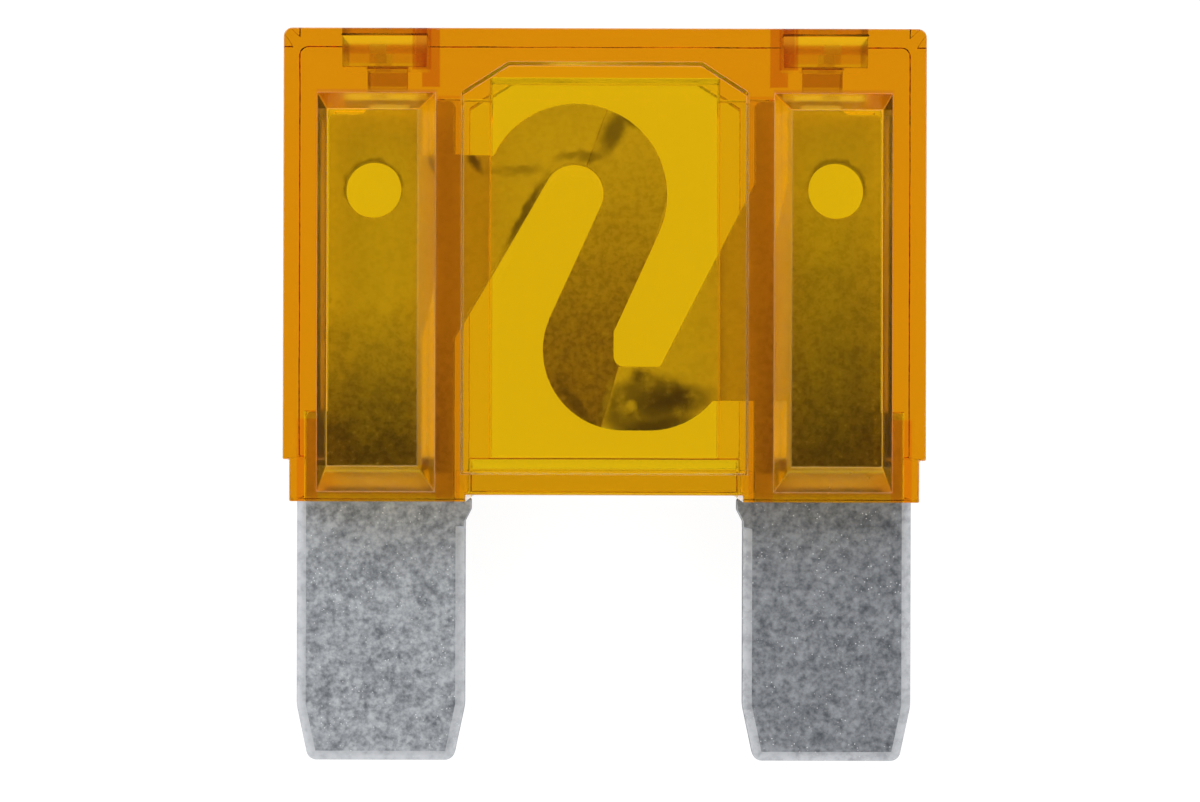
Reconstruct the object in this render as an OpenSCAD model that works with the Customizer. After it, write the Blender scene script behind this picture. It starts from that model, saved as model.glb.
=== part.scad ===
// High-current automotive blade fuse, lying on its back.
//
// The width runs along X, the housing's head points to +Y, the blades point to -Y,
// and the front face looks up (+Z). The origin is below the middle of the whole
// fuse, on the surface that it lies on. All sizes are in millimetres.
//
// The fuse is three pieces: a one-piece moulded housing, a small moulded closure
// that plugs its mouth between the blades, and one stamped metal element, which is
// both blades, both terminals and the S-shaped link between them.

/* [Housing] */
// Width of the housing
body_width = 29.2; // [28.4:0.1:32]
// Height of the housing, from its base to the top of its head
body_height = 21.5; // [21.2:0.1:24]
// Thickness of the housing, front face to back face
body_thickness = 8.9; // [8.2:0.1:11]
// Radius of the two corners at the head
head_corner_r = 0.4; // [0.1:0.1:1]
// Height of the slightly narrower foot of the housing
foot_height = 1.9; // [1.7:0.1:2.4]
// How far the foot stands back on each side
foot_inset = 0.3; // [0.05:0.05:0.35]
// Height of the shallow arch in the base, between the blades
arch_height = 0.3; // [0.1:0.05:0.5]

/* [Window] */
// Distance from the sunken window panel, on the front and on the back, to a terminal beside it
window_margin = 0.5; // [0.3:0.1:1]
// Depth of the sunken window panel
window_depth = 1.0; // [0.4:0.1:1.4]
// Distance from the top of the head to the window panel
window_from_head = 1.55; // [1.2:0.05:2.5]
// Distance from the base to the window panel
window_from_base = 1.25; // [0.9:0.05:2]
// Width of the slanted upper corners of the window panel
window_corner_width = 2.1; // [1:0.1:3]
// Height of the slanted upper corners of the window panel
window_corner_height = 1.35; // [0.6:0.05:2]

/* [Link chamber] */
// Distance from the hollow around the link to a terminal beside it
chamber_margin = 1.65; // [1.3:0.05:1.85]
// Thickness of the hollow around the link
chamber_thickness = 2.3; // [1.6:0.1:3]
// Distance from the top of the head to the hollow
chamber_from_head = 1.9; // [1.6:0.05:2.4]

/* [Column pockets] */
// Depth of the pockets over the terminals, on the front and on the back
pocket_depth = 1.75; // [0.8:0.05:2.3]
// Width of a pocket at the face of the housing
pocket_width = 5.35; // [4.6:0.05:5.5]
// Thickness of the housing's side wall beside a pocket
side_wall = 1.55; // [1.3:0.05:2]
// Distance from the top of the head to a pocket
pocket_from_head = 2.95; // [2.6:0.05:3.6]
// Distance from the base to a pocket
pocket_from_base = 0.45; // [0.3:0.05:0.9]
// Slope of the pocket's wall towards the window, across the width
pocket_draft_inner = 0.92; // [0.2:0.02:1.2]
// Slope of the pocket's wall towards the side of the housing
pocket_draft_outer = 0.2; // [0.05:0.05:0.4]
// Slope of the pocket's wall at the head
pocket_draft_head = 0.5; // [0.1:0.05:0.8]
// Slope of the pocket's wall at the base
pocket_draft_base = 1.1; // [0.2:0.05:1.3]

/* [Test wells] */
// Distance from the side of the housing to the middle of the well that lets a test probe in
well_inset = 4.4; // [4.2:0.05:4.6]
// Width of a well
well_width = 3.9; // [3:0.1:4.4]
// Thickness of the well, front to back
well_thickness = 2.9; // [1.6:0.1:3.4]
// Depth of the wide upper part of the well
well_depth = 1.5; // [1:0.05:1.9]
// Distance from the side of the housing to the middle of the throat that reaches the terminal
throat_inset = 4.5; // [4.3:0.05:4.7]
// Width of a throat
throat_width = 1.9; // [1.2:0.1:2.4]
// Thickness of the throat, front to back
throat_thickness = 1.5; // [1:0.1:1.9]

/* [Blades] */
// Width of a blade
blade_width = 7.95; // [7.7:0.05:8.15]
// Distance from the side of the housing to the outer edge of a blade
blade_edge = 0.1; // [0:0.05:0.3]
// Length of a blade outside the housing
blade_length = 12.4; // [9:0.1:16]
// Thickness of the stamped metal
metal_thickness = 0.8; // [0.6:0.05:1]
// Length of the tapered tip of a blade
taper_length = 2.6; // [1.5:0.1:4]
// How far each side comes in over the tapered tip
taper_inset = 0.55; // [0.2:0.05:1]
// Radius of the corners at the tip of a blade
tip_corner_r = 0.5; // [0.2:0.05:0.9]
// Radius of the bend where the tapered tip begins
shoulder_r = 2; // [0.5:0.1:4]
// Width of the coined bevel along the edges of a blade
coin_width = 0.45; // [0.2:0.05:0.7]
// Depth of the coined bevel on each face
coin_depth = 0.16; // [0.05:0.01:0.25]
// How far the small nub under the housing stands into the gap
nub_width = 0.28; // [0.1:0.02:0.4]
// Length of that nub along the blade
nub_length = 1.1; // [0.6:0.1:1.6]

/* [Terminals] */
// How far the inner edge of a terminal stands back from the inner edge of its blade
terminal_step = 0.45; // [0.3:0.05:0.6]
// How far the outer edge of a terminal stands in from the outer edge of its blade
terminal_inset = 1.55; // [1.2:0.05:1.8]
// Distance from the top of the head to the terminal's inner, higher end
terminal_from_head = 2.95; // [2.8:0.05:3.6]
// How much lower the outer end of the terminal is
terminal_drop = 0.55; // [0.2:0.05:1]
// Width of the lower outer end of the terminal
terminal_drop_width = 1.65; // [1:0.05:2.2]
// How far the root of a blade stands in from the outer edge of the blade
root_inset = 0.6; // [0.55:0.05:1.1]
// How far the root of a blade reaches into the housing
root_height = 4.05; // [2.5:0.05:5]
// Diameter of the hole in a terminal
hole_d = 2.65; // [1.5:0.05:3.4]
// Distance from the outer edge of a blade to the centre of the hole above it
hole_inset = 3.65; // [3.3:0.05:4]
// Distance from the top of the head to the centre of a hole
hole_from_head = 7.04; // [5.5:0.02:9]

/* [Link] */
// Width of the slanting leg of the link
leg_width = 3; // [2.6:0.05:3.2]
// Lean of the leg from upright, in degrees
leg_lean = 24.5; // [22:0.5:27]
// Outer radius of the upper loop
upper_loop_r = 4.27; // [4.1:0.01:4.35]
// Outer radius of the lower loop
lower_loop_r = 3.77; // [3.65:0.01:3.85]
// Distance from the top of the head to the upper loop
upper_loop_from_head = 2.98; // [2.96:0.02:3.4]
// Distance from the base to the lower loop
lower_loop_from_base = 3.2; // [2.8:0.05:3.6]
// How much longer the lower loop is than a plain bend
lower_loop_stretch = 1.25; // [0.8:0.05:1.5]
// Height of the upper web's top edge above the centre of the upper loop
upper_web_rise = 1.8; // [1.4:0.05:2.4]
// Distance from the base up to where the upper web's free edge meets the left-hand terminal
upper_web_from_base = 7.5; // [6.5:0.1:8.5]
// Depth of the lower web's bottom edge below the centre of the lower loop
lower_web_sink = 2.37; // [2:0.05:2.8]
// Distance from the head down to where the lower web's free edge meets the right-hand terminal
lower_web_from_head = 6.75; // [5.8:0.05:7.8]
// Radius of the round end of the slot inside the upper loop
slot_head_r = 1.4; // [1.2:0.02:1.5]
// Depth of the lower end of the other slot below the centre of the lower loop
slot_drop = 0.78; // [0.6:0.02:1]
// Height of the upright side of that slot, between its lower end and the slanting leg
slot_side = 1.64; // [1.3:0.02:1.9]
// Width of the lower end of that slot
slot_width = 2.2; // [1.8:0.1:2.5]
// Round of the lower corner of that slot
slot_foot_r = 0.5; // [0.2:0.05:0.8]
// Thickness of the coined, thinner middle of the link
link_thickness = 0.45; // [0.25:0.05:0.6]
// Direction of the step across the upper loop, seen from the loop's centre, in degrees
upper_step = 70; // [60:1:80]
// Direction of the step across the lower loop, seen from the loop's centre, in degrees
lower_step = 254; // [248:1:262]

/* [Closure and fits] */
// Distance from the closure's plate to a terminal beside it
closure_margin = 0.75; // [0.65:0.05:1]
// Thickness of the closure's plate, along the height of the housing
closure_height = 1.05; // [0.8:0.05:1.2]
// Size of the closure's plate from front to back
closure_thickness = 3.3; // [2.6:0.1:3.6]
// Thickness of the rib that seats on the housing's ledge
closure_rib = 1.2; // [0.9:0.1:1.6]
// Gap on each side of a piece that slides into another
fit_gap = 0.05; // [0.02:0.01:0.08]

/* [Hidden] */
$fn = 96;
// Steps in the round of a small corner, and in a large bend of the link
round_steps = 7;
bend_steps = 23;

// Margin by which a cut runs past the face that it opens
past = 1;
// Overlap between shapes that are joined into one outline
joint = 0.4;

total_length = body_height + blade_length;
head_y = total_length / 2;
base_y = head_y - body_height;
tip_y = -total_length / 2;
mid_z = body_thickness / 2;
foot_y = base_y + foot_height;
arch_y = base_y + arch_height;

blade_outer = body_width / 2 - blade_edge;
blade_inner = blade_outer - blade_width;
terminal_inner = blade_inner + terminal_step;
terminal_outer = blade_outer - terminal_inset;
root_outer = blade_outer - root_inset;
terminal_top = head_y - terminal_from_head;
terminal_low = terminal_top - terminal_drop;
root_top = base_y + root_height;
hole_x = blade_outer - hole_inset;
hole_y = head_y - hole_from_head;
// Round of the small outer corners of the stamping
stamp_r = 0.3;
// Length by which a bevel runs on past a corner, until it is clear of the blade's other side
bevel_run = coin_width * norm([taper_length, taper_inset]) / taper_inset + joint;

ledge_y = foot_y;
slot_top = terminal_top + 2 * fit_gap;
slot_thickness = metal_thickness + 2 * fit_gap;
closure_side = terminal_inner - closure_margin;
mouth_side = closure_side + fit_gap;
mouth_thickness = closure_thickness + 2 * fit_gap;
well_x = body_width / 2 - well_inset;
throat_x = body_width / 2 - throat_inset;

// Directions along the link's leg, and square to it towards the right
leg_along = [sin(leg_lean), cos(leg_lean)];
leg_across = [cos(leg_lean), -sin(leg_lean)];
// Heights of the loops' centres, and the straight length of the leg that joins the loops
upper_loop_y = head_y - upper_loop_from_head - upper_loop_r;
lower_loop_y = base_y + lower_loop_from_base + lower_loop_r;
upper_reach = upper_loop_r - leg_width / 2;
lower_reach = lower_loop_r - leg_width / 2;
leg_length = (upper_loop_y - lower_loop_y - (upper_reach + lower_reach) * sin(leg_lean)) / cos(leg_lean);
leg_mid = [0, (upper_loop_y + lower_loop_y + (lower_reach - upper_reach) * sin(leg_lean)) / 2];
upper_loop = leg_mid + leg_length / 2 * leg_along - upper_reach * leg_across;
lower_loop = leg_mid - leg_length / 2 * leg_along + lower_reach * leg_across;
// The round end of the left-hand slot just touches the leg, and the web's free edge touches it
slot_head = upper_loop + (upper_loop_r - leg_width - slot_head_r) * leg_across;
upper_web_end = [-terminal_inner, base_y + upper_web_from_base];
upper_web_lean = lean_of(slot_head - upper_web_end) - asin(slot_head_r / norm(slot_head - upper_web_end));
// Right-hand slot: its lower end, the foot of the leg's straight edge, and the foot of the web
slot_low = lower_loop_y - slot_drop;
leg_foot = leg_right_at(slot_low + slot_side);
slot_foot = [leg_foot[0], slot_low];
web_foot = slot_foot + [slot_width, 0];
lower_web_end = [terminal_inner, head_y - lower_web_from_head];

// Lean of a direction from upright, in degrees, and the point at some height on the leg's right-hand edge
function lean_of(v) = atan2(v[0], v[1]);
function leg_right_at(y) =
    let (edge = leg_mid + leg_width / 2 * leg_across) edge + (y - edge[1]) / cos(leg_lean) * leg_along;

function unit(v) = v / norm(v);
function flat(c) = [c[0], c[1]];
function turn(u, v) = u[0] * v[1] - u[1] * v[0];

// Points along an arc, from one direction to another in degrees
function arc_points(centre, r, from, to, steps) =
    [for (i = [0 : steps]) let (angle = from + (to - from) * i / steps) centre + r * [cos(angle), sin(angle)]];

// Points along the round of one corner [x, y, radius], between its two neighbours
function corner_points(before, corner, after) =
    corner[2] == 0 ? [flat(corner)] :
    let (u = unit(flat(before) - flat(corner)), v = unit(flat(after) - flat(corner)),
         half = acos(u * v) / 2, centre = flat(corner) + unit(u + v) * corner[2] / sin(half),
         first = flat(corner) + u * corner[2] / tan(half) - centre,
         start = atan2(first[1], first[0]), sweep = (turn(u, v) < 0 ? 1 : -1) * (180 - 2 * half))
    arc_points(centre, corner[2], start, start + sweep, round_steps);

// An outline through [x, y, radius] corners, anticlockwise
module rounded_outline(corners) {
    n = len(corners);
    polygon([
        for (i = [0 : n - 1])
            each corner_points(corners[(i + n - 1) % n], corners[i], corners[(i + 1) % n])
    ]);
}

// A block centred on the middle of the thickness, from one corner to the other
module slab(low, high, thickness) {
    translate([low[0], low[1], mid_z - thickness / 2])
        cube([high[0] - low[0], high[1] - low[1], thickness]);
}

// The same shape again on the other side of the middle of the width
module both_sides() {
    children();
    mirror([1, 0, 0]) children();
}

// The same shape again on the back face
module both_faces() {
    children();
    translate([0, 0, body_thickness]) mirror([0, 0, 1]) children();
}

// Outer block of the housing, with its narrower foot
module body_block() {
    side = body_width / 2;
    foot = side - foot_inset;
    linear_extrude(body_thickness)
        rounded_outline([
            [-foot, base_y, 0], [foot, base_y, 0], [foot, foot_y, 0], [side, foot_y, 0],
            [side, head_y, head_corner_r], [-side, head_y, head_corner_r],
            [-side, foot_y, 0], [-foot, foot_y, 0]
        ]);
}

// Sunken window panel with slanted upper corners
module window_panel() {
    side = terminal_inner - window_margin;
    low = base_y + window_from_base;
    high = head_y - window_from_head;
    translate([0, 0, body_thickness - window_depth])
        linear_extrude(window_depth + past)
            polygon([
                [-side, low], [side, low], [side, high - window_corner_height],
                [side - window_corner_width, high], [window_corner_width - side, high],
                [-side, high - window_corner_height]
            ]);
}

// Pocket over a terminal: all four of its walls slope in towards its floor
module column_pocket() {
    outer = body_width / 2 - side_wall;
    inner = outer - pocket_width;
    low = base_y + pocket_from_base;
    high = head_y - pocket_from_head;
    floor_z = body_thickness - pocket_depth;
    // The slopes run on past the face of the housing by this share of their depth
    more = past / pocket_depth;
    top_z = body_thickness + past;
    intersection() {
        translate([0, high + past + joint, 0]) rotate([90, 0, 0])
            linear_extrude(high - low + 2 * (past + joint))
                polygon([
                    [inner + pocket_draft_inner, floor_z], [outer - pocket_draft_outer, floor_z],
                    [outer + more * pocket_draft_outer, top_z], [inner - more * pocket_draft_inner, top_z]
                ]);
        translate([inner - past - joint, 0, 0]) rotate([90, 0, 90])
            linear_extrude(outer - inner + 2 * (past + joint))
                polygon([
                    [low + pocket_draft_base, floor_z], [high - pocket_draft_head, floor_z],
                    [high + more * pocket_draft_head, top_z], [low - more * pocket_draft_base, top_z]
                ]);
    }
}

// Well in the head for a test probe, with a throat down to the terminal
module test_well() {
    slab([well_x - well_width / 2, head_y - well_depth], [well_x + well_width / 2, head_y + past],
         well_thickness);
    slab([throat_x - throat_width / 2, slot_top - joint / 2], [throat_x + throat_width / 2, head_y],
         throat_thickness);
}

// Flat slot that the stamped element slides into from below
module element_slot() {
    inside = terminal_outer + fit_gap;
    root = root_outer + fit_gap;
    slab([-inside, base_y - past], [inside, slot_top], slot_thickness);
    slab([-root, base_y - past], [root, root_top + fit_gap], slot_thickness);
}

// Hollow around the link, with a wider mouth for the closure
module link_chamber() {
    side = terminal_inner - chamber_margin;
    slab([-side, base_y - past], [side, head_y - chamber_from_head], chamber_thickness);
    slab([-mouth_side, base_y - past], [mouth_side, ledge_y], mouth_thickness);
}

// Shallow arch between the blades, right through the base
module base_arch() {
    slab([-mouth_side, base_y - past], [mouth_side, arch_y], body_thickness + 2 * past);
}

// One-piece moulded housing
module housing() {
    color([0.93, 0.58, 0.08])
        difference() {
            body_block();
            both_faces() window_panel();
            both_faces() both_sides() column_pocket();
            both_sides() test_well();
            element_slot();
            link_chamber();
            base_arch();
        }
}

// Moulded plug in the mouth of the housing, between the blades
module bottom_closure() {
    plate_top = arch_y + closure_height;
    tongue = terminal_inner - 2 * fit_gap;
    color([0.96, 0.64, 0.12]) {
        slab([-closure_side, arch_y], [closure_side, plate_top], closure_thickness);
        slab([-closure_side, plate_top - joint], [closure_side, ledge_y], closure_rib);
        slab([-tongue, arch_y], [tongue, plate_top], metal_thickness);
    }
}

// Right-hand blade, its root in the housing and its terminal
function terminal_corners() = [
    [blade_inner + taper_inset, tip_y, tip_corner_r],
    [blade_outer - taper_inset, tip_y, tip_corner_r],
    [blade_outer, tip_y + taper_length, shoulder_r],
    [blade_outer, base_y, 0],
    [root_outer, base_y, 0],
    [root_outer, root_top, stamp_r],
    [terminal_outer, root_top, 0],
    [terminal_outer, terminal_low, stamp_r],
    [terminal_outer - terminal_drop_width, terminal_low, stamp_r],
    [terminal_outer - terminal_drop_width - stamp_r, terminal_top, stamp_r / 2],
    [terminal_inner, terminal_top, stamp_r],
    [terminal_inner, base_y, 0],
    [blade_inner - nub_width, base_y, stamp_r / 2],
    [blade_inner - nub_width, base_y - nub_length / 2, stamp_r],
    [blade_inner, base_y - nub_length, 0],
    [blade_inner, tip_y + taper_length, shoulder_r]
];

// The point on a slanting line, given by a point and its direction, where x has some value
function at_x(point, direction, x) = point + (x - point[0]) / direction[0] * direction;

// S-shaped link and the two webs that carry it, clockwise from the left-hand terminal
module link_outline() {
    side = terminal_inner + joint;
    top = upper_loop_y + upper_web_rise;
    bottom = lower_loop_y - lower_web_sink;
    stretched = lower_loop + [lower_loop_stretch, 0];
    arm_start = 180 - asin(upper_web_rise / upper_loop_r);
    arm_end = -asin(lower_web_sink / lower_loop_r);
    upper_web = [sin(upper_web_lean), cos(upper_web_lean)];
    lower_web = lower_web_end - web_foot;
    polygon(concat(
        [[-side, top]],
        arc_points(upper_loop, upper_loop_r, arm_start, -leg_lean, bend_steps),
        [leg_foot],
        corner_points(leg_foot, concat(slot_foot, slot_foot_r), web_foot),
        corner_points(slot_foot, concat(web_foot, stamp_r / 2), lower_web_end),
        [at_x(web_foot, lower_web, side), [side, bottom]],
        arc_points(stretched, lower_loop_r, arm_end, -90, bend_steps),
        arc_points(lower_loop, lower_loop_r, -90, -180 - leg_lean, bend_steps),
        arc_points(slot_head, slot_head_r, -leg_lean, 180 - upper_web_lean, bend_steps),
        [at_x(upper_web_end, upper_web, -side)]
    ));
}

// Middle of the link, from the step across the upper loop to the step across the lower one
module coined_zone() {
    far = upper_loop_r + past;
    function away(angle) = far * [cos(angle), sin(angle)];
    polygon([
        upper_loop, upper_loop + away(upper_step), upper_loop + [far, far], upper_loop + [far, 0],
        lower_loop, lower_loop + away(lower_step), lower_loop - [far, far], lower_loop - [far, 0]
    ]);
}

// Bevel along one edge of a blade, on both of its faces, running on past either end
module edge_bevel(from, to, before, after) {
    along = to - from;
    slope = coin_depth / coin_width;
    face = mid_z + metal_thickness / 2;
    both_faces()
        translate([from[0], from[1], face]) rotate([0, 0, atan2(along[1], along[0])])
            translate([-before, 0, 0]) rotate([90, 0, 90])
                linear_extrude(norm(along) + before + after)
                    polygon([
                        [-joint, -coin_depth - joint * slope],
                        [coin_width + joint, joint * slope], [-joint, joint]
                    ]);
}

// Bevels along the sides and the tip of a blade, mitred where they meet
module blade_bevels() {
    tip_in = [blade_inner + taper_inset, tip_y];
    tip_out = [blade_outer - taper_inset, tip_y];
    shoulder_in = [blade_inner, tip_y + taper_length];
    shoulder_out = [blade_outer, tip_y + taper_length];
    edge_bevel([blade_inner, base_y - nub_length - stamp_r], shoulder_in, 0, bevel_run);
    edge_bevel(shoulder_in, tip_in, bevel_run, bevel_run);
    edge_bevel(tip_in, tip_out, bevel_run, bevel_run);
    edge_bevel(tip_out, shoulder_out, bevel_run, bevel_run);
    edge_bevel(shoulder_out, [blade_outer, base_y], bevel_run, joint);
}

// A flat outline as sheet metal, centred on the middle of the thickness
module sheet(thickness) {
    translate([0, 0, mid_z - thickness / 2]) linear_extrude(thickness) children();
}

// One stamped piece: blades, terminals and link
module fuse_element() {
    color([0.72, 0.73, 0.74])
        difference() {
            union() {
                sheet(metal_thickness) difference() {
                    union() {
                        both_sides() rounded_outline(terminal_corners());
                        link_outline();
                    }
                    coined_zone();
                }
                sheet(link_thickness) intersection() {
                    link_outline();
                    coined_zone();
                }
            }
            both_sides() blade_bevels();
            both_sides() translate([hole_x, hole_y, mid_z - metal_thickness])
                cylinder(d = hole_d, h = 2 * metal_thickness);
        }
}

housing();
bottom_closure();
fuse_element();
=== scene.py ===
"""A large blade fuse in a clear amber housing, lying on a pale light table.

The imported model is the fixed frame: the sizes here are measured from it, or are a finish's own
scale. All lengths are in metres, and +Z points up out of the front face of the fuse.
"""

import logging
import math
from collections.abc import Callable, Iterator
from dataclasses import dataclass, field
from enum import Enum

import bmesh
import bpy
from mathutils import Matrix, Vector


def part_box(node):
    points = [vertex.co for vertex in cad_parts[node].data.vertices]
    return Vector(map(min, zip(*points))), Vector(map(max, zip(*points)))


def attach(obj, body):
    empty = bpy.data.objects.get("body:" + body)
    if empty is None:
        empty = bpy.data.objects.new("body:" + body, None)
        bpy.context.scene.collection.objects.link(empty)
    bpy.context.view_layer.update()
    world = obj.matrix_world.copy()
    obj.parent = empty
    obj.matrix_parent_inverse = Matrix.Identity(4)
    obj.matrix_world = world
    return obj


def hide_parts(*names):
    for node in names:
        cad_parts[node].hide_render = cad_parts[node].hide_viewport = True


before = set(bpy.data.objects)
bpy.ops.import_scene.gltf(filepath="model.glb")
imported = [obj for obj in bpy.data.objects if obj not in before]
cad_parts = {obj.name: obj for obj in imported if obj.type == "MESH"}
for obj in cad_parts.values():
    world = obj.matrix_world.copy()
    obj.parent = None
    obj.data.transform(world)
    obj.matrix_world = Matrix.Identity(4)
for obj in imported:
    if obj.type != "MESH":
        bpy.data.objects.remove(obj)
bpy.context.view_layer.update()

MM = 0.001
LOG = logging.getLogger("blade_fuse")

Triple = tuple[float, float, float]
Colour = tuple[float, float, float, float]
Socket = bpy.types.NodeSocket
Value = Socket | float | Triple | Colour


class Wrap(Enum):
    """Where an edge of a moulding lies, which says how far it is rounded."""

    OUTLINE = "outline"
    RIM = "rim"
    INSIDE = "inside"


class Shade(Enum):
    """Whether a mark on the metal is a painted shadow, darker than the metal around it, or a painted highlight,
    lighter than it.
    """

    PAINTED_SHADOW = "painted_shadow"
    PAINTED_HIGHLIGHT = "bright"


def grey(value: float) -> Colour:
    """Returns a neutral linear colour."""
    return (value, value, value, 1.0)


def corners(node: str) -> Iterator[Vector]:
    """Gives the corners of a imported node, folded onto the right side of the fuse's middle."""
    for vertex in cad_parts[node].data.vertices:
        yield Vector((abs(vertex.co.x), vertex.co.y, vertex.co.z))


@dataclass
class NodeGraph:
    """A shader node tree with short ways to add nodes to it.

    Args:
        tree: The node tree of a material, of the world or of a shader node group.
    """

    tree: bpy.types.NodeTree

    def add(self, kind: str, **settings: object) -> bpy.types.Node:
        """Adds one node.

        Args:
            kind: Blender's name for the kind of node.
            settings: Properties of the node, such as operation.

        Returns:
            The new node.
        """
        node = self.tree.nodes.new(kind)
        for name, value in settings.items():
            setattr(node, name, value)
        return node

    def join(self, source: Value, target: Socket) -> None:
        """Links an output to an input, or sets the input to a plain value.

        Args:
            source: The output, or the plain value.
            target: The input.
        """
        if isinstance(source, Socket):
            self.tree.links.new(source, target)
        else:
            target.default_value = source

    def feed(self, node: bpy.types.Node, **inputs: Value) -> bpy.types.Node:
        """Sets or links inputs of a node by their names, with _ for a space.

        Args:
            node: The node whose inputs are set.
            inputs: A value, or the output that feeds the input.

        Returns:
            The same node.
        """
        for name, value in inputs.items():
            self.join(value, node.inputs[name.replace("_", " ")])
        return node

    def group(self, tree: bpy.types.NodeTree, **inputs: Value) -> bpy.types.Node:
        """Adds a shader node group and feeds its inputs."""
        return self.feed(self.add("ShaderNodeGroup", node_tree=tree), **inputs)

    def math(self, operation: str, *values: Value, clamp: bool = False) -> Socket:
        """Adds a Math node.

        Args:
            operation: The operation, such as MULTIPLY.
            values: Numbers or outputs, in order.
            clamp: Whether the result is kept from 0 to 1.

        Returns:
            The node's output.
        """
        node = self.add("ShaderNodeMath", operation=operation, use_clamp=clamp)
        for socket, value in zip(node.inputs, values):
            self.join(value, socket)
        return node.outputs[0]

    def product(self, first: Value, *others: Value) -> Socket:
        """Multiplies values.

        Args:
            first: The first number or output.
            others: The other numbers or outputs.

        Returns:
            The product.
        """
        result = first
        for value in others:
            result = self.math("MULTIPLY", result, value)
        return result

    def vector(self, operation: str, *values: Value) -> bpy.types.Node:
        """Adds a Vector Math node.

        Args:
            operation: The operation, such as SUBTRACT.
            values: Vectors or outputs, in order.

        Returns:
            The node.
        """
        node = self.add("ShaderNodeVectorMath", operation=operation)
        for socket, value in zip(node.inputs, values):
            self.join(value, socket)
        return node

    def split(self, vector: Value) -> bpy.types.NodeOutputs:
        """Splits a vector into its X, Y and Z."""
        return self.feed(self.add("ShaderNodeSeparateXYZ"), Vector=vector).outputs

    def blend(self, factor: Value, low: Value, high: Value, mode: str = "MIX") -> Socket:
        """Adds a colour mix.

        Args:
            factor: The share of the second colour.
            low: The first colour, or the output that gives it.
            high: The second colour, or the output that gives it.
            mode: How the second colour is laid over the first.

        Returns:
            The mixed colour.
        """
        node = self.add("ShaderNodeMix", data_type="RGBA", blend_type=mode)
        for socket, value in zip((node.inputs[0], node.inputs[6], node.inputs[7]), (factor, low, high)):
            self.join(value, socket)
        return node.outputs[2]

    def band(self, value: Socket, start: Value, end: Value) -> Socket:
        """Adds a smooth step.

        Args:
            value: The value that is stepped.
            start: Where the step is still 0.
            end: Where the step has reached 1.

        Returns:
            The stepped value.
        """
        node = self.add("ShaderNodeMapRange", interpolation_type="SMOOTHSTEP")
        return self.feed(node, Value=value, From_Min=start, From_Max=end).outputs[0]

    def noise(self, place: Socket, per_mm: float, detail: float = 3.0) -> Socket:
        """Adds a noise texture.

        Args:
            place: The coordinates, in metres.
            per_mm: How many of the noise's features fit in a millimetre.
            detail: How many finer layers it has.

        Returns:
            The noise, around 0.5.
        """
        node = self.add("ShaderNodeTexNoise")
        self.feed(node, Vector=place, Scale=per_mm / MM, Detail=detail, Roughness=0.6)
        return node.outputs["Fac"]


@dataclass(frozen=True)
class Effect:
    """A shader node group that is used in several places.

    Args:
        name: The group's name.
        inputs: Names of its inputs, with their starting values: a number, or three for a vector.
        outputs: Names of its outputs.
    """

    name: str
    inputs: dict[str, float | Triple]
    outputs: tuple[str, ...]

    def open(self) -> tuple[NodeGraph, bpy.types.NodeOutputs, bpy.types.NodeInputs]:
        """Makes the empty group.

        Returns:
            Its graph, what it is given, and what it gives back.
        """
        tree = bpy.data.node_groups.new(self.name, "ShaderNodeTree")
        tree.interface.new_socket("Place", in_out="INPUT", socket_type="NodeSocketVector")
        for name, value in self.inputs.items():
            kind = "NodeSocketVector" if isinstance(value, tuple) else "NodeSocketFloat"
            tree.interface.new_socket(name, in_out="INPUT", socket_type=kind).default_value = value
        for name in self.outputs:
            tree.interface.new_socket(name, in_out="OUTPUT", socket_type="NodeSocketFloat")
        graph = NodeGraph(tree)
        return graph, graph.add("NodeGroupInput").outputs, graph.add("NodeGroupOutput").inputs


def make_zone() -> bpy.types.NodeTree:
    """Builds the mask of a box.

    Returns:
        The node group, with a mask that is 1 inside the box.
    """
    effect = Effect("box_zone", {"Middle": (0.0, 0.0, 0.0), "Half Size": (MM, MM, MM)}, ("Mask",))
    graph, given, result = effect.open()
    offset = graph.vector("SUBTRACT", given["Place"], given["Middle"]).outputs[0]
    distance = graph.vector("ABSOLUTE", offset).outputs[0]
    beyond = graph.split(graph.vector("SUBTRACT", distance, given["Half Size"]).outputs[0])
    furthest = graph.math("MAXIMUM", graph.math("MAXIMUM", beyond["X"], beyond["Y"]), beyond["Z"])
    graph.join(graph.band(furthest, 0.05 * MM, -0.05 * MM), result["Mask"])
    return graph.tree


def make_soft_spot() -> bpy.types.NodeTree:
    """Builds the mask of a long soft-edged spot.

    Returns:
        The node group, with a mask that is 1 in the middle of the spot.
    """
    starts = {"Middle": (0.0, 0.0, 0.0), "Half Size": (MM, MM, 1.0), "Turn": (0.0, 0.0, 0.0), "Core": 0.3}
    graph, given, result = Effect("soft_spot", starts, ("Mask",)).open()
    scaled = graph.feed(graph.add("ShaderNodeMapping", vector_type="TEXTURE"), Vector=given["Place"],
                        Location=given["Middle"], Rotation=given["Turn"], Scale=given["Half Size"]).outputs[0]
    length = graph.vector("LENGTH", scaled).outputs["Value"]
    graph.join(graph.band(length, 1.0, given["Core"]), result["Mask"])
    return graph.tree


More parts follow.
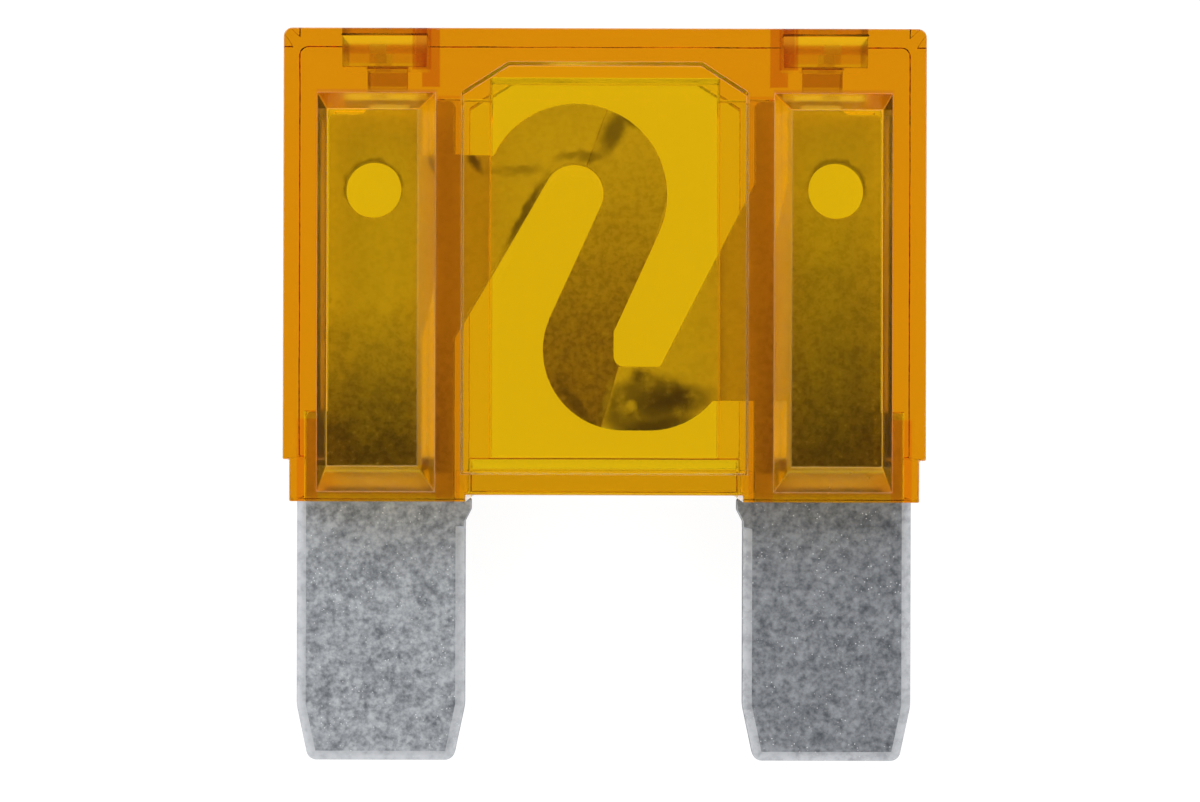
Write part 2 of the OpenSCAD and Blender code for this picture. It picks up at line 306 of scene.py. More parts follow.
def make_moulded_skin() -> bpy.types.NodeTree:
    """Builds the skin of a polished moulding: a faint wave, a fine grain and hairline scratches.

    Returns:
        The node group, with a height and a roughness.
    """
    effect = Effect("moulded_skin", {"Scratches": 1.0, "Roughness": 0.0}, ("Height", "Roughness"))
    graph, given, result = effect.open()
    place = given["Place"]
    stretched = graph.feed(graph.add("ShaderNodeMapping"), Vector=place, Rotation=(0.0, 0.0, 0.6),
                           Scale=(1.0, 0.03, 1.0)).outputs[0]
    lines = graph.band(graph.noise(stretched, 5.0, 1.0), 0.66, 0.72)
    patches = graph.band(graph.noise(place, 0.3, 1.0), 0.45, 0.65)
    scratches = graph.product(lines, patches, given["Scratches"])
    wave = graph.product(graph.noise(place, 0.28, 1.0), 12.0)
    grain = graph.product(graph.noise(place, 9.0, 0.0), 0.25)
    height = graph.math("MULTIPLY_ADD", scratches, -0.5, graph.math("ADD", wave, grain))
    graph.join(height, result["Height"])
    graph.join(graph.math("MULTIPLY_ADD", scratches, 0.12, given["Roughness"]), result["Roughness"])
    return graph.tree


@dataclass(frozen=True)
class PaintedShadeBox:
    """A box on both sides of the middle whose surfaces colour the light that passes them, as painted shade.

    Args:
        low: Its low corner, on the right side.
        high: Its high corner.
        colour: The share of the light that two such surfaces pass, which is painted shade.
        texture: How much rougher these surfaces are than the polished ones.
    """

    low: Triple
    high: Triple
    colour: Colour
    texture: float = 0.1


@dataclass(frozen=True)
class AmberPlastic:
    """Clear amber plastic, coloured through its depth.

    Args:
        name: The material's name.
        density: How strongly it absorbs blue light, for each metre.
        passed: The share of red, green and blue that the absorption leaves alone.
        roughness: Roughness of its moulded skin.
        scratches: Strength of the hairline scratches.
        painted_shade_boxes: Boxes whose surfaces are textured by the mould, or are coloured with painted shade
            so that they pass less light.
    """

    name: str
    density: float = 1500.0
    passed: Colour = (0.981, 0.909, 0.0, 1.0)
    roughness: float = 0.0
    scratches: float = 1.0
    painted_shade_boxes: tuple[PaintedShadeBox, ...] = ()

    def make(self, skin: bpy.types.NodeTree, zone: bpy.types.NodeTree) -> bpy.types.Material:
        """Builds the material.

        Args:
            skin: The node group for a moulded skin.
            zone: The node group for a box.

        Returns:
            The material.
        """
        material = bpy.data.materials.new(self.name)
        material.use_nodes = True
        graph = NodeGraph(material.node_tree)
        place = graph.add("ShaderNodeTexCoord").outputs["Object"]
        moulded = graph.group(skin, Place=place, Roughness=self.roughness, Scratches=self.scratches)
        bump = graph.feed(graph.add("ShaderNodeBump"), Height=moulded.outputs["Height"], Strength=0.35,
                          Distance=0.004 * MM)
        colour, rough = self.paint_shade(graph, place, zone, moulded.outputs["Roughness"])
        graph.feed(material.node_tree.nodes["Principled BSDF"], Base_Color=colour, Roughness=rough,
                   Normal=bump.outputs[0], IOR=1.57, Transmission_Weight=1.0)
        depth = graph.feed(graph.add("ShaderNodeVolumeAbsorption"), Color=self.passed, Density=self.density)
        graph.feed(material.node_tree.nodes["Material Output"], Volume=depth.outputs[0])
        return material

    def paint_shade(self, graph: NodeGraph, place: Socket, zone: bpy.types.NodeTree,
               rough: Socket) -> tuple[Value, Socket]:
        """Paints shade into the surfaces inside the boxes, and roughens them, on both sides of the middle.

        Args:
            graph: The material's nodes.
            place: The coordinates.
            zone: The node group for a box.
            rough: The roughness of the skin.

        Returns:
            The share of light that a surface passes, and its roughness.
        """
        colour: Value = grey(1.0)
        if not self.painted_shade_boxes:
            return colour, rough
        split = graph.split(place)
        folded = graph.feed(graph.add("ShaderNodeCombineXYZ"), X=graph.math("ABSOLUTE", split["X"]),
                            Y=split["Y"], Z=split["Z"]).outputs[0]
        for shade_box in self.painted_shade_boxes:
            low, high = Vector(shade_box.low), Vector(shade_box.high)
            mask = graph.group(zone, Place=folded, Middle=tuple((low + high) / 2),
                               Half_Size=tuple((high - low) / 2)).outputs["Mask"]
            # Painted shade: the box colours the light that passes its surfaces.
            colour = graph.blend(mask, colour, shade_box.colour)
            rough = graph.math("MULTIPLY_ADD", mask, shade_box.texture, rough)
        return colour, rough


@dataclass(frozen=True)
class ShadingMark:
    """A soft-edged painted shadow or painted highlight on the metal inside the housing, in millimetres from the
    base's middle.

    Args:
        x: Its middle, across.
        y: Its middle, up from the housing's base.
        half_length: Half of its length.
        half_width: Half of its width.
        turn: How far it is turned, in degrees.
        strength: How far it changes the metal's colour.
        shade: Whether it is a painted shadow or a painted highlight.
        core: Share of it that has the full strength.
    """

    x: float
    y: float
    half_length: float
    half_width: float
    turn: float
    strength: float
    shade: Shade = Shade.PAINTED_SHADOW
    core: float = 0.2


# Painted shade on the metal inside the housing: shadows beside the link's coined steps, along its slot and web
# edges and at the rims of the terminals' holes, and a few painted highlights at the lower step.
UPPER_STEP_SHADING = (
    ShadingMark(0.42, 17.2, 1.5, 0.75, 66, 0.7, core=0.3),
    ShadingMark(1.2, 17.75, 1.2, 0.3, -38, 0.6),
    ShadingMark(-0.75, 16.0, 1.0, 0.45, 10, 0.55),
    ShadingMark(-1.7, 16.1, 1.0, 0.3, 14, 0.45),
)
UPPER_WEB_SHADING = (
    ShadingMark(-3.7, 13.35, 3.0, 0.36, 60.5, 0.75),
    ShadingMark(-4.2, 15.35, 1.8, 0.35, 2, 0.45),
    ShadingMark(-6.05, 15.7, 0.9, 0.4, -58, 0.8),
)
LOWER_STEP_SHADING = (
    ShadingMark(2.1, 4.3, 2.7, 1.85, 8, 0.74, core=0.6),
    ShadingMark(3.2, 4.6, 2.7, 0.95, 6, 0.85),
    ShadingMark(2.2, 3.35, 2.6, 0.5, 12, 0.7),
    ShadingMark(1.75, 5.8, 0.8, 0.5, 0, 0.8),
    ShadingMark(1.2, 4.3, 0.45, 0.35, 20, 0.9, Shade.PAINTED_HIGHLIGHT),
    ShadingMark(0.15, 4.7, 1.5, 0.3, 74, 0.45, Shade.PAINTED_HIGHLIGHT),
    ShadingMark(-1.4, 4.5, 2.2, 0.4, -52, 0.6),
)
HOLE_SHADOWS = (
    ShadingMark(-10.85, 14.6, 1.5, 1.45, 0, 0.45, core=0.85),
    ShadingMark(10.85, 14.6, 1.5, 1.45, 0, 0.45, core=0.85),
)


@dataclass(frozen=True)
class Step:
    """A line across the link where its coined part begins, in millimetres from the base's middle.

    Args:
        x: A point on the line, across.
        y: The same point, up from the housing's base.
        angle: The line's angle, in degrees.
        side: 1 where the coined part lies right of the line, -1 where it lies left.
    """

    x: float
    y: float
    angle: float
    side: int


@dataclass(frozen=True)
class FootDarkening:
    """How each terminal darkens towards its foot, in millimetres from the base's middle.

    Args:
        ledge: Heights between which it sets in, above the bright ledge at the terminal's foot.
        full: Height up to which it is full.
        left_height: How far it fades out above that, on the left terminal.
        right_extra: How much further it reaches on the right terminal.
        inner: Distances from the middle between which it grows.
        outer: Distances from the middle between which it ends.
        smear: How far its edge wanders.
    """

    ledge: tuple[float, float] = (1.1, 1.35)
    full: float = 2.6
    left_height: float = 6.6
    right_extra: float = 5.5
    inner: tuple[float, float] = (6.2, 9.4)
    outer: tuple[float, float] = (13.05, 12.95)
    smear: float = 4.0


@dataclass(frozen=True)
class PlatedMetal:
    """Dull plated sheet metal with a fine grain and light specks. Inside the housing its colour is painted
    brighter, as painted light, and it darkens towards the terminals' feet and along the link, with painted
    shadows and highlights.

    Args:
        name: The material's name.
        base_y: Height of the housing's base, below which the blades are bare.
        spot: The node group for a soft-edged spot.
        shading_marks: Painted shadows and highlights on the metal inside the housing.
        inside: Colour of the plating inside the housing, painted brighter than the bare blades as painted light
            that stands in for the light the housing holds back.
        bright: Colour of the grains on the bare blades.
        dark: Colour between those grains.
        speck: Colour of the light specks, and of the painted highlights.
        foot_dark: Colour that the terminals darken to towards their feet.
        link: Colour that the coined link darkens to towards its lower end.
        painted_shadow: Colour of the painted shadows.
        coined: Colour of the smooth coined edges, painted lighter as a highlight.
        right_shade: Factor that darkens the right blade's colour.
        roughness: Roughness of the plating.
        rag: How far the edges of the marks wander.
        darkening: Where the terminals darken towards their feet.
        link_dark_heights: Heights over the base, in millimetres, where the link's darkening sets in and where
            it is full.
        steps: The two ends of the link's coined part.
    """

    name: str
    base_y: float
    spot: bpy.types.NodeTree
    shading_marks: tuple[ShadingMark, ...]
    inside: Colour = (0.9, 0.9, 0.9, 1.0)
    bright: Colour = (0.46, 0.48, 0.5, 1.0)
    dark: Colour = (0.12, 0.13, 0.145, 1.0)
    speck: Colour = (0.85, 0.86, 0.88, 1.0)
    foot_dark: Colour = (0.23, 0.21, 0.18, 1.0)
    link: Colour = (0.38, 0.285, 0.22, 1.0)
    painted_shadow: Colour = (0.09, 0.07, 0.05, 1.0)
    coined: Colour = (0.46, 0.47, 0.49, 1.0)
    right_shade: Colour = (0.67, 0.67, 0.68, 1.0)
    roughness: float = 0.42
    rag: float = 0.5 * MM
    darkening: FootDarkening = FootDarkening()
    link_dark_heights: tuple[float, float] = (19.0, 4.0)
    steps: tuple[Step, ...] = (Step(-1.34, 14.25, 70.0, 1), Step(0.88, 6.97, 74.0, -1))

    def make(self) -> bpy.types.Material:
        """Builds the material.

        Returns:
            The material.
        """
        material = bpy.data.materials.new(self.name)
        material.use_nodes = True
        graph = NodeGraph(material.node_tree)
        place = graph.add("ShaderNodeTexCoord").outputs["Object"]
        grain = graph.noise(place, 4.5, 4.0)
        speck = self.specks(graph, place)
        bare = self.paint_coined_highlight(graph, place, self.bare(graph, place, grain, speck))
        inside = graph.band(graph.split(place)["Y"], self.base_y - 0.1 * MM, self.base_y + 0.1 * MM)
        # Inside the housing the plating takes a brighter colour, which is painted light.
        colour = graph.blend(inside, bare, self.covered(graph, place))
        bump = graph.feed(graph.add("ShaderNodeBump"), Height=graph.math("MULTIPLY_ADD", speck, 0.6, grain),
                          Strength=0.4, Distance=0.01 * MM)
        graph.feed(material.node_tree.nodes["Principled BSDF"], Base_Color=colour, Metallic=0.85,
                   Roughness=graph.math("MULTIPLY_ADD", grain, 0.25, self.roughness), Normal=bump.outputs[0])
        return material

    def specks(self, graph: NodeGraph, place: Socket) -> Socket:
        """Adds light specks in loose patches.

        Args:
            graph: The material's nodes.
            place: The coordinates.

        Returns:
            The specks' mask.
        """
        cells = graph.feed(graph.add("ShaderNodeTexVoronoi"), Vector=place, Scale=5.5 / MM)
        dots = graph.band(cells.outputs["Distance"], 0.2, 0.08)
        patches = graph.band(graph.noise(place, 1.2), 0.48, 0.6)
        return graph.product(dots, patches)

    def bare(self, graph: NodeGraph, place: Socket, grain: Socket, speck: Socket) -> Socket:
        """Colours the bare blades: grainy, speckled, and darker on the right.

        Args:
            graph: The material's nodes.
            place: The coordinates.
            grain: The fine grain.
            speck: The light specks.

        Returns:
            The colour.
        """
        clouds, blotches = graph.noise(place, 0.45), graph.noise(place, 1.8, 4.0)
        tone = graph.math("MULTIPLY_ADD", clouds, 0.25, graph.product(grain, 0.55))
        tone = graph.math("MULTIPLY_ADD", blotches, 0.5, tone)
        colour = graph.blend(graph.band(tone, 0.38, 0.92), self.dark, self.bright)
        darker_right = graph.band(graph.split(place)["X"], -2.0 * MM, 6.0 * MM)
        colour = graph.blend(darker_right, colour, self.right_shade, "MULTIPLY")
        return graph.blend(graph.product(speck, 0.7), colour, self.speck)

    def paint_coined_highlight(self, graph: NodeGraph, place: Socket, colour: Socket) -> Socket:
        """Paints a highlight on the coined edges, which are the faces that lean away from the flat sides, by
        making their colour brighter.

        Args:
            graph: The material's nodes.
            place: The coordinates.
            colour: The blades' colour.

        Returns:
            The colour with brighter edges.
        """
        face = graph.add("ShaderNodeNewGeometry").outputs["True Normal"]
        upright = graph.math("ABSOLUTE", graph.split(face)["Z"])
        patchy_highlight = graph.math("MULTIPLY_ADD", graph.band(graph.noise(place, 2.2), 0.3, 0.65), 0.45, 0.45)
        leaning, not_a_side = graph.band(upright, 0.998, 0.985), graph.band(upright, 0.4, 0.8)
        # Painted highlight: the leaning faces are coloured brighter in patches.
        return graph.blend(graph.product(leaning, not_a_side, patchy_highlight), colour, self.coined)

    def covered(self, graph: NodeGraph, place: Socket) -> Socket:
        """Colours the metal in the housing: a bright colour that is painted light, terminals that darken
        towards their feet, a browner link that darkens towards the base, and the painted shadows and
        highlights.

        Args:
            graph: The material's nodes.
            place: The coordinates.

        Returns:
            The colour.
        """
        mottle = graph.noise(place, 0.9, 6.0)
        smear = graph.math("MULTIPLY_ADD", mottle, self.darkening.smear * MM, -self.darkening.smear / 2 * MM)
        foot_dark = self.terminal_darkening(graph, place, smear)
        link_dark = self.link_darkening(graph, place, smear)
        # The bright inside colour is painted light; the terminals darken towards their feet and the link
        # between its steps.
        colour = graph.blend(foot_dark, self.inside, self.foot_dark)
        colour = graph.blend(graph.product(link_dark, 0.9), colour, self.link)
        grain = graph.noise(place, 3.6, 5.0)
        pitted = graph.math("MULTIPLY_ADD", graph.math("MAXIMUM", foot_dark, link_dark), 0.5, 0.12, clamp=True)
        pits = graph.product(graph.band(grain, 0.58, 0.36), pitted)
        colour = graph.blend(pits, colour, grey(0.45), "MULTIPLY")
        colour = graph.blend(graph.product(graph.band(grain, 0.6, 0.72), pitted, 0.5), colour, self.inside)
        return self.paint_shading(graph, place, colour, mottle)

    def terminal_darkening(self, graph: NodeGraph, place: Socket, smear: Socket) -> Socket:
        """Masks the darkening that grows towards the foot of each terminal, and reaches higher on the right.

        Args:
            graph: The material's nodes.
            place: The coordinates.
            smear: How far the darkening's edge is moved, in metres.

        Returns:
            The mask.
        """
        across, along = graph.split(place)["X"], graph.split(place)["Y"]
        darkening = self.darkening
        height = graph.math("ADD", graph.math("SUBTRACT", along, self.base_y + darkening.full * MM), smear)
        right_side = graph.band(across, -7.0 * MM, 7.0 * MM)
        span = graph.math("MULTIPLY_ADD", right_side, darkening.right_extra * MM, darkening.left_height * MM)
        fading = graph.math("SUBTRACT", 1.0, graph.math("DIVIDE", height, span), clamp=True)
        beside = graph.math("ABSOLUTE", across)
        grown, ended = (graph.band(beside, *(end * MM for end in ends)) for ends in (darkening.inner, darkening.outer))
        above_ledge = graph.band(along, *(self.base_y + end * MM for end in darkening.ledge))
        return graph.product(fading, grown, ended, above_ledge)

    def link_darkening(self, graph: NodeGraph, place: Socket, smear: Socket) -> Socket:
        """Masks the coined part of the link between its steps, more strongly towards the base.

        Args:
            graph: The material's nodes.
            place: The coordinates.
            smear: How far the edge of the link's darkening is moved, in metres.

        Returns:
            The mask.
        """
        across, along = graph.split(place)["X"], graph.split(place)["Y"]
        mask = graph.band(graph.math("ADD", along, smear), *(self.base_y + end * MM for end in self.link_dark_heights))
        for step in self.steps:
            angle = math.radians(step.angle)
            right = graph.product(graph.math("SUBTRACT", across, step.x * MM), math.sin(angle) * step.side)
            left = graph.product(graph.math("SUBTRACT", along, self.base_y + step.y * MM),
                                 -math.cos(angle) * step.side)
            mask = graph.product(mask, graph.band(graph.math("ADD", right, left), -0.03 * MM, 0.03 * MM))
        return mask

    def paint_shading(self, graph: NodeGraph, place: Socket, colour: Socket, mottle: Socket) -> Socket:
        """Lays the painted shadows and highlights over the metal's colour, with ragged edges and broken up by
        its mottle.

        Args:
            graph: The material's nodes.
            place: The coordinates.
            colour: The metal's colour.
            mottle: The noise that breaks the marks up.

        Returns:
            The colour with the marks.
        """
        ragged = graph.feed(graph.add("ShaderNodeTexNoise"), Vector=place, Scale=1.6 / MM, Detail=4.0)
        moved = graph.vector("MULTIPLY_ADD", ragged.outputs["Color"], (self.rag, self.rag, 0.0), place)
        flat = graph.vector("MULTIPLY", moved.outputs[0], (1.0, 1.0, 0.0)).outputs[0]
        broken = graph.band(mottle, 0.15, 0.5)
        for mark in self.shading_marks:
            middle = (mark.x * MM + self.rag / 2, self.base_y + mark.y * MM + self.rag / 2, 0.0)
            spot = graph.group(self.spot, Place=flat, Middle=middle, Turn=(0.0, 0.0, math.radians(mark.turn)),
                               Half_Size=(mark.half_length * MM, mark.half_width * MM, 1.0), Core=mark.core)
            share = graph.product(spot.outputs["Mask"], broken, mark.strength)
            # Painted shadow in the dark colour, painted highlight in the speck colour.
            colour = graph.blend(share, colour, self.painted_shadow if mark.shade is Shade.PAINTED_SHADOW else self.speck)
        return colour


@dataclass(frozen=True)
class LightTable:
    """Pale floor that glows, as a light table does.

    Args:
        name: The material's name.
        colour: Colour of the floor.
        glow: Strength of its own light.
    """

    name: str = "pale_floor"
    colour: Colour = (0.12, 0.12, 0.12, 1.0)
    glow: float = 0.9

    def make(self) -> bpy.types.Material:
        """Builds the material.

        Returns:
            The material.
        """
        material = bpy.data.materials.new(self.name)
        material.use_nodes = True
        NodeGraph(material.node_tree).feed(
            material.node_tree.nodes["Principled BSDF"], Base_Color=self.colour, Roughness=0.7,
            Emission_Color=grey(1.0), Emission_Strength=self.glow)
        return material


@dataclass
class Moulding:
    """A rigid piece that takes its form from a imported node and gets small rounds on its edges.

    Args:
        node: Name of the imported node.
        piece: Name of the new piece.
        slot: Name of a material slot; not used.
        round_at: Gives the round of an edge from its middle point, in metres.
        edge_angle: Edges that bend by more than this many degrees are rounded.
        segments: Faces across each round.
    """

    node: str
    piece: str
    slot: str
    round_at: Callable[[Vector], float]
    edge_angle: float = 34.0
    segments: int = 3

    def build(self, material: bpy.types.Material) -> bpy.types.Object:
        """Builds the piece in place of its node.

        Args:
            material: The finish of the whole piece.

        Returns:
            The piece, riding on the fuse.
        """
        mesh = self.shape_mesh()
        mesh.materials.append(material)
        mesh.shade_smooth()
        mesh.set_sharp_from_angle(angle=math.radians(self.edge_angle))
        piece = bpy.data.objects.new(self.piece, mesh)
        bpy.context.scene.collection.objects.link(piece)
        even = piece.modifiers.new("flat_faces_stay_flat", "WEIGHTED_NORMAL")
        even.keep_sharp = True
        even.weight = 100
        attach(piece, "root")
        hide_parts(self.node)
        LOG.info("%s takes the place of %s, %d faces", self.piece, self.node, len(mesh.polygons))
        return piece

    def shape_mesh(self) -> bpy.types.Mesh:
        """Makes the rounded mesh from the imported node.

        Returns:
            The mesh, without materials.
        """
        mesh = bpy.data.meshes.new(self.piece)
        shape = bmesh.new()
        shape.from_mesh(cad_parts[self.node].data)
        self.clean(shape)
        self.round_edges(shape)
        shape.to_mesh(mesh)
        shape.free()
        mesh.materials.clear()
        return mesh

    def clean(self, shape: bmesh.types.BMesh) -> None:
        """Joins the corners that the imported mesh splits, and makes whole faces of its triangles."""
        bmesh.ops.remove_doubles(shape, verts=shape.verts, dist=0.0002 * MM)
        bmesh.ops.dissolve_limit(shape, angle_limit=math.radians(0.2), verts=shape.verts, edges=shape.edges)

    def round_edges(self, shape: bmesh.types.BMesh) -> None:
        """Rounds the sharp edges, the widest rounds first.

        Args:
            shape: The cleaned shape, which is changed.
        """
        widths: dict[float, list[bmesh.types.BMEdge]] = {}
        for edge in shape.edges:
            if len(edge.link_faces) == 2 and math.degrees(edge.calc_face_angle(0.0)) > self.edge_angle:
                middle = (edge.verts[0].co + edge.verts[1].co) / 2
                widths.setdefault(self.round_at(middle), []).append(edge)
        for width in sorted(widths, reverse=True):
            edges = [edge for edge in widths[width] if edge.is_valid]
            bmesh.ops.bevel(shape, geom=edges, offset=width, offset_type="OFFSET", affect="EDGES",
                            segments=self.segments, profile=0.5, clamp_overlap=False)
        bmesh.ops.recalc_face_normals(shape, faces=shape.faces)


@dataclass
class Housing:
    """The one-piece moulded housing.

    Args:
        outer_round: Round of the edges around its outline.
        rim_round: Round of the rims of the window and the pockets.
        inner_round: Round of the edges inside the hollows.
        low: Low corner of its box.
        high: High corner of its box.
    """

    outer_round: float = 0.07 * MM
    rim_round: float = 0.05 * MM
    inner_round: float = 0.035 * MM
    low: Vector = field(default_factory=lambda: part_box("housing")[0])
    high: Vector = field(default_factory=lambda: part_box("housing")[1])

    def well_painted_shade(self) -> tuple[PaintedShadeBox, ...]:
        """Paints shade into the test wells, measured from the rims of their mouths in the top of the head.

        Returns:
            Painted shade for the well, its mouth, its inner side, a patch in its wall that is a painted
            reflection of the terminal, the strip beside it and the throat under it.
        """
        rims = [c for c in corners("housing")
                if c.y > self.high.y - 0.01 * MM and c.x < self.high.x - 2 * MM
                and self.low.z + MM < c.z < self.high.z - MM]
        margin = 0.1 * MM
        inner, outer = min(c.x for c in rims) - margin, max(c.x for c in rims) + margin
        back, front = min(c.z for c in rims) - 2 * margin, max(c.z for c in rims) + 2 * margin
        well_depth, mouth_depth = 1.5 * MM, 0.9 * MM
        top, mouth, floor = self.high.y + MM, self.high.y - mouth_depth, self.high.y - well_depth - margin
        side_width, strip_width = 0.65 * MM, 0.85 * MM
        patch_width, patch_height = 0.8 * MM, 0.9 * MM
        throat_width, throat_height = 2.1 * MM, 0.9 * MM
        patch_x, patch_y = outer - 1.35 * MM - patch_width, floor + 0.25 * MM
        strip_x, strip_y = inner - 0.25 * MM, floor - 0.3 * MM
        throat_x, throat_y = inner + 0.9 * MM, floor - 0.75 * MM
        return (
            # Painted shade in and around the test wells; the patch is a painted reflection of the terminal.
            PaintedShadeBox((inner, floor, back), (outer, top, front), (0.9, 0.74, 0.6, 1.0)),
            PaintedShadeBox((inner, mouth, back), (outer, top, front), (0.8, 0.42, 0.25, 1.0)),
            PaintedShadeBox((inner, floor, back), (inner + side_width, top, front), (0.88, 0.66, 0.6, 1.0)),
            PaintedShadeBox((patch_x, patch_y, back), (patch_x + patch_width, patch_y + patch_height, front),
                 (0.62, 0.4, 0.5, 1.0)),
            PaintedShadeBox((strip_x, strip_y, self.low.z - MM), (strip_x + strip_width, top, self.high.z + MM),
                 (0.71, 0.34, 0.6, 1.0), texture=0.0),
            PaintedShadeBox((throat_x, throat_y, back), (throat_x + throat_width, throat_y + throat_height, front),
                 (0.66, 0.42, 0.4, 1.0)),
        )

    def face_painted_shade(self) -> tuple[PaintedShadeBox, ...]:
        """Paints shade into the front around the pockets, measured from the rims of the pockets and the base.

        Returns:
            Tints for the bars beside the window, the walls of the pockets, their inner walls, and the
            foot beside each pocket.
        """
        between = 0.24 * (self.high.x - self.low.x)
        rims = [c for c in corners("housing") if c.z > self.high.z - 0.01 * MM and c.x < self.high.x - 0.5 * MM]
        window = max(c.x for c in rims if c.x < between)
        pocket = [c for c in rims if c.x > between]
        inner, outer = min(c.x for c in pocket), max(c.x for c in pocket)
        foot, head = min(c.y for c in pocket), max(c.y for c in pocket)
        base = max(c.x for c in corners("housing") if c.y < self.low.y + 0.01 * MM)
        margin = 0.05 * MM
        face, above = self.high.z - 0.5 * MM, self.high.z + 0.5 * MM
        slope = self.high.z - 1.65 * MM
        wall_width, foot_height, foot_inset = 0.85 * MM, 3.3 * MM, 0.35 * MM
        return (
            # Painted shade on the bars beside the window, the walls of the pockets and the feet beside them.
            PaintedShadeBox((window + margin, self.low.y, face), (inner - margin, head - 3 * margin, above),
                 (0.9, 0.6, 0.85, 1.0), texture=0.0),
            PaintedShadeBox((inner - margin, foot - 2 * margin, slope), (outer + margin, head + 3 * margin, above),
                 (0.84, 0.67, 0.8, 1.0), texture=0.22),
            PaintedShadeBox((inner - margin, foot, slope), (inner + wall_width, head, above),
                 (0.86, 0.74, 0.9, 1.0), texture=0.0),
            PaintedShadeBox((outer - margin, self.low.y, face), (base - foot_inset, foot + foot_height, above),
                 (1.0, 0.55, 0.8, 1.0), texture=0.0),
        )

    def wrap(self, point: Vector) -> Wrap:
        """Says where an edge of the housing lies.

        Args:
            point: The edge's middle point.

        Returns:
            Whether it is on the outline, on the rim of a window or pocket, or in a hollow.
        """
        side_step, top_reach, rim_reach = 0.4 * MM, 0.1 * MM, 1.9 * MM
        if abs(point.x) > self.high.x - side_step or point.y > self.high.y - top_reach:
            return Wrap.OUTLINE
        near_face = point.z < self.low.z + rim_reach or point.z > self.high.z - rim_reach
        return Wrap.RIM if near_face else Wrap.INSIDE

    def round_at(self, point: Vector) -> float:
        """Gives the round of an edge.

        Args:
            point: The edge's middle point.

        Returns:
            The round's width.
        """
        rounds = {Wrap.OUTLINE: self.outer_round, Wrap.RIM: self.rim_round, Wrap.INSIDE: self.inner_round}
        return rounds[self.wrap(point)]

    def build(self, material: bpy.types.Material) -> bpy.types.Object:
        """Builds the housing from its node.

        Args:
            material: The amber plastic.

        Returns:
            The housing.
        """
        return Moulding("housing", "housing_moulding", "amber_housing", self.round_at).build(material)


@dataclass
class BottomClosure:
    """The small moulded plug between the blades.

    Args:
        edge_round: Round of all its edges.
    """

    edge_round: float = 0.06 * MM

    def build(self, material: bpy.types.Material) -> bpy.types.Object:
        """Builds the closure from its node.

        Args:
            material: The amber plastic.

        Returns:
            The closure.
        """
        return Moulding("bottom_closure", "closure_plug", "amber_closure",
                        lambda _: self.edge_round).build(material)


@dataclass
class FuseElement:
    """The stamped element: blades, terminals and link.

    Args:
        edge_round: Round that stamping and plating leave on its edges.
    """

    edge_round: float = 0.05 * MM

    def build(self, material: bpy.types.Material) -> bpy.types.Object:
        """Builds the element from its node.

        Args:
            material: The plated metal.

        Returns:
            The element.
        """
        return Moulding("fuse_element", "stamped_element", "plated_metal", lambda _: self.edge_round,
                        segments=2).build(material)


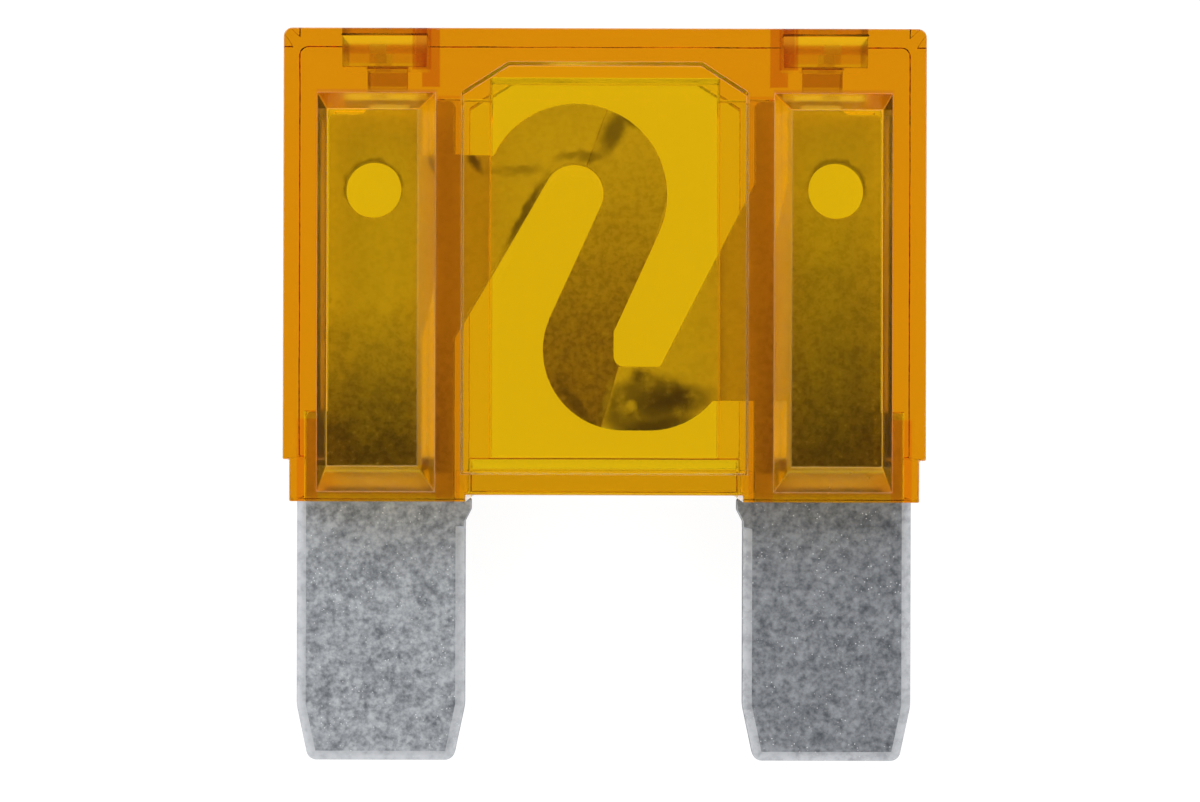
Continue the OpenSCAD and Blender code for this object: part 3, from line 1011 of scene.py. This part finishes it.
@dataclass
class Studio:
    """The light table, the soft lights and the camera over the fuse.

    Args:
        floor_size: Length of the floor's sides.
        floor_gap: Air between the floor and the fuse.
        tent_glow: Strength of the even light of the tent.
        opening_glow: Strength of the light from its opening over the camera.
        opening: Angles from straight up at which the opening ends and the full light begins.
        key_place: Where the soft key light stands.
        key_size: Length of its sides.
        key_power: Its power, in watts.
        camera_height: Distance from the fuse's front face to the camera.
        camera_from_head: Distance from the top of the head to the point under the camera.
        camera_shift: How far the camera stands left of the fuse's middle.
        camera_roll: Turn of the picture, in degrees.
        lens: Focal length, in Blender's millimetres, for a sensor 36 mm wide.
    """

    floor_size: float = 3.0
    floor_gap: float = 0.02 * MM
    tent_glow: float = 1.6
    opening_glow: float = 0.06
    opening: tuple[float, float] = (16.0, 30.0)
    key_place: Triple = (-0.3, 0.35, 0.45)
    key_size: float = 0.4
    key_power: float = 0.8
    camera_height: float = 101 * MM
    camera_from_head: float = 16.92 * MM
    camera_shift: float = 0.2 * MM
    camera_roll: float = 0.15
    lens: float = 66.8

    def build(self) -> None:
        """Builds the floor, the lights and the camera."""
        self.build_floor(LightTable().make())
        self.build_tent()
        self.build_key_light()
        self.build_camera()
        bpy.context.scene.view_settings.view_transform = "Standard"

    def build_floor(self, material: bpy.types.Material) -> None:
        """Builds the floor as one flat sheet just under the fuse.

        Args:
            material: The floor's finish.
        """
        half = self.floor_size / 2
        mesh = bpy.data.meshes.new("floor")
        outline = [(-half, -half), (half, -half), (half, half), (-half, half)]
        mesh.from_pydata([(x, y, -self.floor_gap) for x, y in outline], [], [(0, 1, 2, 3)])
        mesh.materials.append(material)
        floor = bpy.data.objects.new("floor", mesh)
        bpy.context.scene.collection.objects.link(floor)

    def build_tent(self) -> None:
        """Sets the even light of a white tent, with a dark opening over the camera."""
        world = bpy.data.worlds.new("tent")
        world.use_nodes = True
        graph = NodeGraph(world.node_tree)
        direction = graph.split(graph.add("ShaderNodeTexCoord").outputs["Generated"])
        edge, rim = (math.cos(math.radians(angle)) for angle in self.opening)
        glow = graph.math("MULTIPLY_ADD", graph.band(direction["Z"], edge, rim),
                          self.tent_glow - self.opening_glow, self.opening_glow)
        graph.feed(world.node_tree.nodes["Background"], Color=grey(1.0), Strength=glow)
        bpy.context.scene.world = world

    def build_key_light(self) -> None:
        """Adds the square soft light that points at the fuse."""
        light = bpy.data.lights.new("key_softbox", "AREA")
        light.size = self.key_size
        light.energy = self.key_power
        lamp = bpy.data.objects.new("key_softbox", light)
        lamp.location = self.key_place
        lamp.rotation_mode = "QUATERNION"
        lamp.rotation_quaternion = (-Vector(self.key_place)).to_track_quat("-Z", "Y")
        bpy.context.scene.collection.objects.link(lamp)

    def build_camera(self) -> None:
        """Sets the camera straight above the fuse."""
        _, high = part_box("housing")
        data = bpy.data.cameras.new("camera")
        data.lens = self.lens
        data.clip_start = MM
        camera = bpy.data.objects.new("camera", data)
        camera.location = (-self.camera_shift, high.y - self.camera_from_head, high.z + self.camera_height)
        camera.rotation_euler = (0.0, 0.0, math.radians(self.camera_roll))
        bpy.context.scene.collection.objects.link(camera)
        bpy.context.scene.camera = camera


def main() -> None:
    """Builds the studio and the fuse, and keeps the sizes of both models."""
    logging.basicConfig(level=logging.INFO, format="%(name)s %(message)s")
    skin, zone = make_moulded_skin(), make_zone()
    housing = Housing()
    amber = AmberPlastic("amber_housing_plastic", painted_shade_boxes=housing.well_painted_shade() + housing.face_painted_shade())
    plug = AmberPlastic("amber_closure_plastic", density=700.0, roughness=0.05, scratches=0.5)
    metal = PlatedMetal("plated_sheet_metal", base_y=housing.low.y, spot=make_soft_spot(),
                        shading_marks=UPPER_STEP_SHADING + UPPER_WEB_SHADING + LOWER_STEP_SHADING + HOLE_SHADOWS)
    Studio().build()
    for part, material in ((housing, amber.make(skin, zone)), (BottomClosure(), plug.make(skin, zone)),
                           (FuseElement(), metal.make())):
        LOG.info("built %s", part.build(material).name)


if __name__ == "__main__":
    main()
